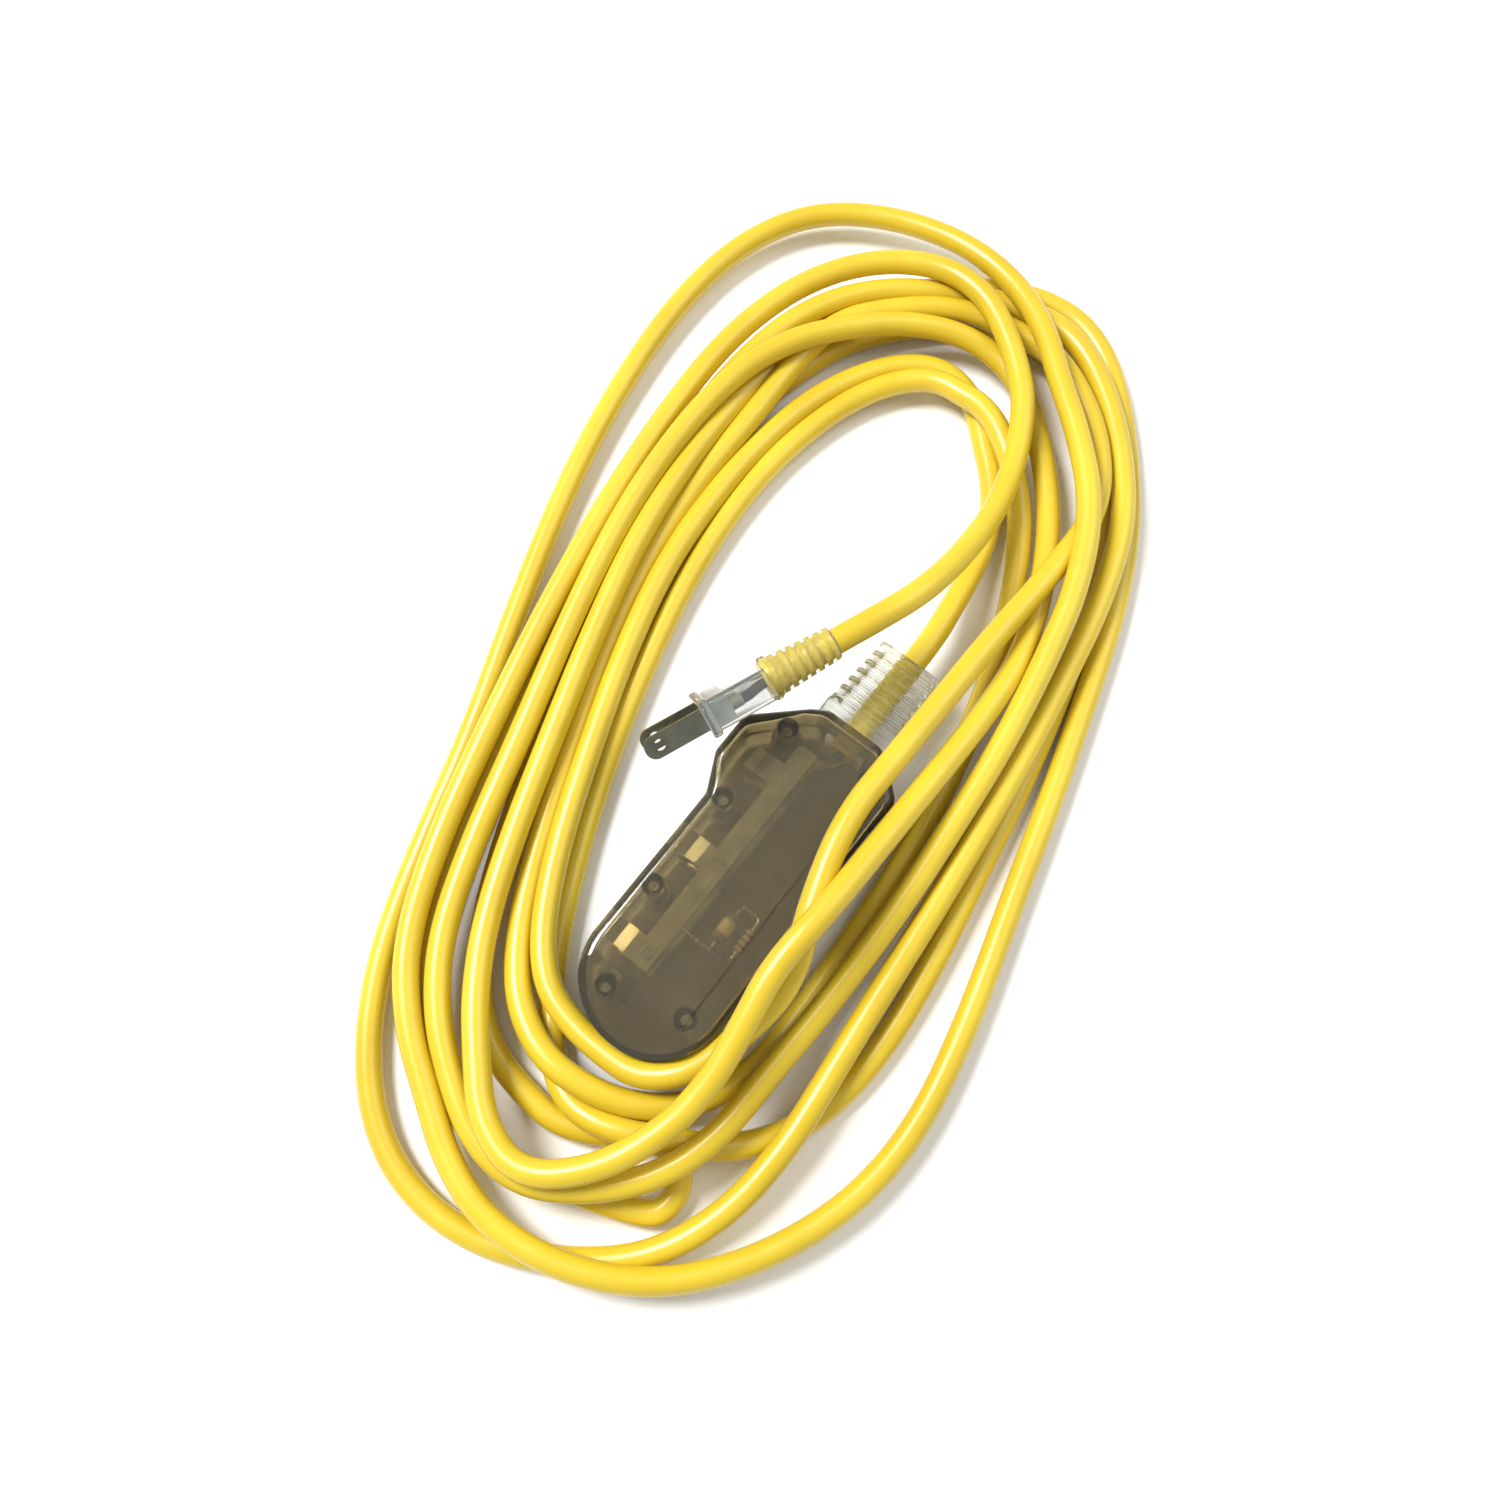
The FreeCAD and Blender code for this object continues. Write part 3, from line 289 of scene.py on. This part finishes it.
def settle(points, fixed):
    """Let the cord's points come to rest on the surface, on each other and on the block."""
    points = np.array(points, float)
    start = points.copy()
    weights = spline_weights(len(points))
    share = weights.sum(axis=0)[:, None]
    free = np.ones((len(points), 1))
    free[fixed] = 0
    samples = weights @ points
    steps = np.linalg.norm(np.diff(samples, axis=0), axis=1)
    run = np.concatenate(([0], np.cumsum(steps)))
    strangers = np.abs(run[:, None] - run[None, :]) > SAME_STRETCH
    for turn in range(ROUNDS):
        done = turn / ROUNDS
        samples = weights @ points
        move = np.zeros_like(samples)
        count = np.zeros(len(samples))
        push_apart(samples, strangers, move, count)
        for low, high in BLOCK_BOXES:
            push_out(samples, low, high, move, count)
        move /= np.maximum(count, 1)[:, None] ** CROWDING
        change = np.clip(PUSH_GAIN * (weights.T @ move) / share, -LONGEST_MOVE, LONGEST_MOVE)
        change[:, 2] -= SINK * max(0, 1 - done / SINK_UNTIL)
        change[:, :2] += LANE_PULL * (1 - PULL_FADE * done) * (start[:, :2] - points[:, :2])
        heights = points[:, 2]
        change[1:-1, 2] += HEIGHT_SMOOTHING * ((heights[2:] + heights[:-2]) / 2 - heights[1:-1])
        points += change * free
        low = points[:, 2] < LOWEST
        points[low & (free[:, 0] > 0), 2] = LOWEST
    return points


def cord_points():
    """The settled control points, from the outlet block through the fold to the plug."""
    tap_half = wind(TAP_TURNS)
    fold = fold_points()
    plug_half = wind(PLUG_TURNS)
    points = TAP_CORD_ROUTE + tap_half + fold + plug_half[::-1] + PLUG_CORD_ROUTE[::-1]
    fold_start = len(TAP_CORD_ROUTE) + len(tap_half)
    fixed = list(range(len(TAP_CORD_ROUTE)))
    fixed += list(range(fold_start, fold_start + len(fold)))
    fixed += list(range(len(points) - len(PLUG_CORD_ROUTE), len(points)))
    return settle(points, fixed)


def add_cord():
    """The whole cord as one open spline, thickened by each point's own radius."""
    curve = bpy.data.curves.new("cord", "CURVE")
    curve.dimensions = "3D"
    curve.resolution_u = CURVE_STEPS
    curve.bevel_depth = 1.0
    curve.bevel_resolution = BEVEL_STEPS
    curve.use_fill_caps = True
    points = cord_points()
    spline = curve.splines.new("NURBS")
    spline.points.add(len(points) - 1)
    for target, place in zip(spline.points, points):
        target.co = (*place, 1)
        target.radius = CORD_RADIUS
    spline.order_u = 3
    spline.use_endpoint_u = True
    cord = bpy.data.objects.new("cord", curve)
    bpy.context.scene.collection.objects.link(cord)
    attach(cord, "root")
    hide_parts("tap_cord", "plug_cord", "cord_coil")
    return cord


# ---------------------------------------------------------------- sheath in the clear mouldings

SHEATH_RIPPLE = 0.00012
SHEATH_PITCH = 0.0019
RINGS_PER_RIPPLE = 6
SLEEVE_GRIP = 0.00025
SLEEVE_SIDES = 48
SLEEVE_SETBACK = 0.0002
PLUG_SHEATH_LENGTH = 0.0215


def add_sleeve(name, start, end, replaced):
    """The sheath's end where the clear moulding grips it with no air between, lightly rippled."""
    start, end = Vector(start), Vector(end)
    way = (end - start).normalized()
    side = way.orthogonal().normalized()
    other = way.cross(side)
    length = (end - start).length
    rings = round(length / SHEATH_PITCH * RINGS_PER_RIPPLE)
    points = []
    for ring in range(rings + 1):
        run = length * ring / rings
        ripple = SHEATH_RIPPLE * math.cos(2 * math.pi * run / SHEATH_PITCH)
        radius = CORD_RADIUS + SLEEVE_GRIP + ripple
        for n in range(SLEEVE_SIDES):
            angle = 2 * math.pi * n / SLEEVE_SIDES
            spoke = side * math.cos(angle) + other * math.sin(angle)
            points.append(start + way * run + spoke * radius)
    faces = []
    for ring in range(rings):
        for n in range(SLEEVE_SIDES):
            a, b = ring * SLEEVE_SIDES + n, ring * SLEEVE_SIDES + (n + 1) % SLEEVE_SIDES
            faces.append((a, b, b + SLEEVE_SIDES, a + SLEEVE_SIDES))
    faces.append(tuple(reversed(range(SLEEVE_SIDES))))
    faces.append(tuple(range(rings * SLEEVE_SIDES, (rings + 1) * SLEEVE_SIDES)))
    mesh = bpy.data.meshes.new(name)
    mesh.from_pydata(points, [], faces)
    mesh.polygons.foreach_set("use_smooth", [len(p.vertices) == 4 for p in mesh.polygons])
    sleeve = bpy.data.objects.new(name, mesh)
    bpy.context.scene.collection.objects.link(sleeve)
    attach(sleeve, "root")
    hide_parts(replaced)
    return sleeve


def add_sleeves():
    tap_low, tap_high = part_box("tap_sheath")
    middle = (tap_low[1] + tap_high[1]) / 2, (tap_low[2] + tap_high[2]) / 2
    tap_tip = (tap_high[0] - SLEEVE_SETBACK, *middle)
    tap = add_sleeve("sleeve_tap", (tap_low[0], *middle), tap_tip, "tap_sheath")
    tip, lead = Vector(PLUG_CORD_ROUTE[0]), Vector(PLUG_CORD_ROUTE[1])
    way = (tip - lead).normalized()
    plug_root, plug_tip = tip + way * PLUG_SHEATH_LENGTH, tip + way * SLEEVE_SETBACK
    plug = add_sleeve("sleeve_plug", plug_root, plug_tip, "plug_sheath")
    return tap, plug


# ---------------------------------------------------------------- materials

# A noise field's values lie mostly between these two.
FIELD_LOW = 0.3
FIELD_HIGH = 0.7
LAMP_SPOT = 0.0042
BAND_SCALE = 180.0
GRAIN_STRETCH = (12, 1, 1)


class Finish:
    """A material with its shader, and short ways to add detail in the object's own metres."""

    def __init__(self, name, **sockets):
        self.material = bpy.data.materials.new(name)
        self.material.use_nodes = True
        self.nodes = self.material.node_tree.nodes
        self.shader = self.nodes["Principled BSDF"]
        for socket, value in sockets.items():
            self.shader.inputs[socket.replace("_", " ")].default_value = value
        self.where = self.add("ShaderNodeTexCoord").outputs["Object"]
        self.height = None

    def add(self, kind, **settings):
        node = self.nodes.new(kind)
        for name, value in settings.items():
            setattr(node, name, value)
        return node

    def join(self, output, socket):
        self.material.node_tree.links.new(output, socket)

    def noise(self, size, detail=3.0, stretch=(1, 1, 1)):
        """Mottling whose patches are about size across, times stretch along each axis."""
        mapping = self.add("ShaderNodeMapping")
        mapping.inputs["Scale"].default_value = [1 / (size * s) for s in stretch]
        texture = self.add("ShaderNodeTexNoise")
        texture.inputs["Scale"].default_value = 1.0
        texture.inputs["Detail"].default_value = detail
        self.join(self.where, mapping.inputs["Vector"])
        self.join(mapping.outputs["Vector"], texture.inputs["Vector"])
        return texture.outputs["Fac"]

    def mottle(self, field, dark, light):
        """Base colour from dark to light over a noise field's range."""
        return self.colours(field, (FIELD_LOW, dark), (FIELD_HIGH, light))

    def colours(self, field, *stops):
        """Base colour from a field, as (place, (r, g, b)) stops."""
        ramp = self.add("ShaderNodeValToRGB")
        elements = ramp.color_ramp.elements
        while len(elements) < len(stops):
            elements.new(0.5)
        for element, (place, colour) in zip(elements, stops):
            element.position = place
            element.color = (*colour, 1)
        self.join(field, ramp.inputs["Fac"])
        self.join(ramp.outputs["Color"], self.shader.inputs["Base Color"])
        return self

    def roughness(self, field, low, high):
        """Roughness from a field; the middle of its range is spread from low to high."""
        spread = self.add("ShaderNodeMapRange")
        spread.inputs["From Min"].default_value = FIELD_LOW
        spread.inputs["From Max"].default_value = FIELD_HIGH
        spread.inputs["To Min"].default_value = low
        spread.inputs["To Max"].default_value = high
        self.join(field, spread.inputs["Value"])
        self.join(spread.outputs["Result"], self.shader.inputs["Roughness"])
        return self

    def bump(self, field, depth, strength=1.0):
        """Relief of the given depth; a later call adds to the ones before it."""
        node = self.add("ShaderNodeBump")
        node.inputs["Distance"].default_value = depth
        node.inputs["Strength"].default_value = strength
        self.join(field, node.inputs["Height"])
        if self.height:
            self.join(self.height, node.inputs["Normal"])
        self.height = node.outputs["Normal"]
        self.join(self.height, self.shader.inputs["Normal"])
        return self


def yellow_sheath(name, dark, light):
    finish = Finish(name, IOR=1.5, Coat_Weight=0.12, Coat_Roughness=0.18)
    finish.mottle(finish.noise(0.045, 4), dark, light)
    finish.roughness(finish.noise(0.006, 4), 0.27, 0.40)
    finish.bump(finish.noise(0.009, 2), 0.00018, 0.6)
    return finish.bump(finish.noise(0.0007, 2), 0.00002, 0.5).material


def smoke_clear():
    finish = Finish("smoke_clear", IOR=1.49, Transmission_Weight=0.92)
    finish.mottle(finish.noise(0.030, 3), (0.53, 0.46, 0.29), (0.61, 0.54, 0.36))
    finish.roughness(finish.noise(0.004, 4), 0.06, 0.20)
    return finish.bump(finish.noise(0.012, 2), 0.00012, 0.4).material


def grey_clear():
    finish = Finish("grey_clear", IOR=1.5, Transmission_Weight=0.94)
    finish.mottle(finish.noise(0.010, 3), (0.90, 0.91, 0.86), (0.96, 0.97, 0.94))
    finish.roughness(finish.noise(0.003, 3), 0.05, 0.18)
    return finish.bump(finish.noise(0.004, 2), 0.00008, 0.5).material


def clear_moulding():
    finish = Finish("clear_moulding", IOR=1.5, Transmission_Weight=0.94)
    finish.mottle(finish.noise(0.008, 3), (0.88, 0.90, 0.87), (0.95, 0.96, 0.94))
    finish.roughness(finish.noise(0.003, 3), 0.04, 0.14)
    return finish.bump(finish.noise(0.004, 2), 0.00006, 0.5).material


def metal(name, dark, light, low, high, grain):
    """Rolled or drawn metal with its grain along the block's length."""
    finish = Finish(name, Metallic=1.0)
    finish.mottle(finish.noise(0.006, 4), dark, light)
    finish.roughness(finish.noise(grain, 3, GRAIN_STRETCH), low, high)
    return finish.bump(finish.noise(grain, 3, GRAIN_STRETCH), 0.00002, 0.4).material


def core(name, dark, light):
    finish = Finish(name, IOR=1.48)
    finish.mottle(finish.noise(0.005, 3), dark, light)
    finish.roughness(finish.noise(0.002, 3), 0.30, 0.45)
    return finish.bump(finish.noise(0.0006, 2), 0.00002, 0.5).material


def lamp_glass():
    """Smoked glass round a pale gold spot in the lamp's middle."""
    low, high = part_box("pilot_lamp")
    finish = Finish("lamp_glass", IOR=1.5)
    mapping = finish.add("ShaderNodeMapping")
    mapping.inputs["Location"].default_value = [-(a + b) / 2 / LAMP_SPOT for a, b in zip(low, high)]
    mapping.inputs["Scale"].default_value = (1 / LAMP_SPOT,) * 3
    gradient = finish.add("ShaderNodeTexGradient", gradient_type="SPHERICAL")
    finish.join(finish.where, mapping.inputs["Vector"])
    finish.join(mapping.outputs["Vector"], gradient.inputs["Vector"])
    finish.colours(gradient.outputs["Fac"], (0.20, (0.20, 0.17, 0.11)), (0.40, (0.98, 0.80, 0.36)))
    finish.roughness(finish.noise(0.002, 2), 0.06, 0.16)
    return finish.bump(finish.noise(0.0015, 2), 0.00004, 0.4).material


def resistor_paint():
    """Tan enamel with darker rings across the part, which lies along X."""
    finish = Finish("resistor_paint", IOR=1.5)
    bands = finish.add("ShaderNodeTexWave", wave_type="BANDS", bands_direction="X", wave_profile="SAW")
    bands.inputs["Scale"].default_value = BAND_SCALE
    finish.join(finish.where, bands.inputs["Vector"])
    finish.colours(bands.outputs["Fac"], (0.0, (0.62, 0.50, 0.30)), (0.55, (0.62, 0.50, 0.30)),
                   (0.62, (0.30, 0.05, 0.03)), (0.85, (0.30, 0.05, 0.03)), (0.90, (0.66, 0.54, 0.34)))
    return finish.roughness(finish.noise(0.002, 3), 0.25, 0.40).material


def carrier_plastic():
    finish = Finish("carrier_plastic", IOR=1.48)
    finish.mottle(finish.noise(0.005, 3), (0.42, 0.45, 0.42), (0.52, 0.55, 0.51))
    finish.roughness(finish.noise(0.002, 3), 0.30, 0.45)
    return finish.bump(finish.noise(0.0008, 2), 0.00002, 0.4).material


def make_materials():
    return {
        "yellow_sheath": yellow_sheath("yellow_sheath", (0.62, 0.435, 0.020), (0.74, 0.550, 0.034)),
        # gripped_sheath is the cord's own yellow painted much lighter: a lit copy of yellow_sheath,
        # painted light so the sheath shows bright through the clear mouldings.
        "gripped_sheath": yellow_sheath("gripped_sheath", (0.93, 0.700, 0.030), (0.98, 0.780, 0.050)),
        "smoke_clear": smoke_clear(),
        "grey_clear": grey_clear(),
        "clear_moulding": clear_moulding(),
        "strip_metal": metal("strip_metal", (0.40, 0.38, 0.31), (0.54, 0.52, 0.44), 0.32, 0.50, 0.0006),
        "rivet_metal": metal("rivet_metal", (0.55, 0.54, 0.50), (0.72, 0.71, 0.68), 0.20, 0.36, 0.0008),
        "wire_metal": metal("wire_metal", (0.58, 0.57, 0.54), (0.74, 0.73, 0.70), 0.20, 0.34, 0.0005),
        "screw_steel": metal("screw_steel", (0.46, 0.46, 0.45), (0.64, 0.64, 0.62), 0.22, 0.40, 0.0007),
        "blade_metal": metal("blade_metal", (0.20, 0.20, 0.155), (0.30, 0.295, 0.235), 0.24, 0.42,
                             0.0006),
        "core_dark": core("core_dark", (0.020, 0.020, 0.020), (0.045, 0.045, 0.045)),
        "core_pale": core("core_pale", (0.70, 0.70, 0.66), (0.82, 0.82, 0.79)),
        "lamp_glass": lamp_glass(),
        "resistor_paint": resistor_paint(),
        "carrier_plastic": carrier_plastic(),
    }


def dress(materials, cord, sleeves):
    """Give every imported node, the cord and its two ends their materials."""
    for entry in frame["record"]["subparts"]:
        node = bpy.data.objects[entry["node"]]
        node.data.materials.clear()
        node.data.materials.append(materials[entry["material_slot"]])
    cord.data.materials.append(materials["yellow_sheath"])
    for sleeve in sleeves:
        # The two ends get the lighter copy of the yellow, painted light to show through the mouldings.
        sleeve.data.materials.append(materials["gripped_sheath"])


# ---------------------------------------------------------------- stage

FLOOR_HALF = 3.0
FLOOR_HEIGHT = -0.0002
FLOOR_COLOUR = (0.93, 0.93, 0.93, 1)
WORLD_STRENGTH = 0.42


def add_floor():
    mesh = bpy.data.meshes.new("floor")
    corners = [(x * FLOOR_HALF, y * FLOOR_HALF, FLOOR_HEIGHT)
               for x, y in ((-1, -1), (1, -1), (1, 1), (-1, 1))]
    mesh.from_pydata(corners, [], [(0, 1, 2, 3)])
    floor = bpy.data.objects.new("floor", mesh)
    bpy.context.scene.collection.objects.link(floor)
    finish = Finish("floor", Roughness=0.8)
    finish.shader.inputs["Base Color"].default_value = FLOOR_COLOUR
    mesh.materials.append(finish.material)


def add_light(name, place, size, power):
    lamp = bpy.data.lights.new(name, "AREA")
    lamp.shape = "DISK"
    lamp.size = size
    lamp.energy = power
    holder = bpy.data.objects.new(name, lamp)
    holder.location = place
    holder.rotation_euler = (-Vector(place)).to_track_quat("-Z", "Y").to_euler()
    bpy.context.scene.collection.objects.link(holder)


def add_stage():
    add_floor()
    add_light("key", (-0.15, 0.75, 1.15), 0.55, 23)
    add_light("fill", (0.9, -0.5, 1.2), 1.2, 8)
    world = bpy.data.worlds.new("studio")
    world.use_nodes = True
    sky = world.node_tree.nodes["Background"]
    sky.inputs["Color"].default_value = (1, 1, 1, 1)
    sky.inputs["Strength"].default_value = WORLD_STRENGTH
    bpy.context.scene.world = world
    bpy.context.scene.view_settings.view_transform = "Standard"


# ---------------------------------------------------------------- the object

add_camera()
sleeves = add_sleeves()
the_cord = add_cord()
dress(make_materials(), the_cord, sleeves)
add_stage()

bpy.context.view_layer.update()
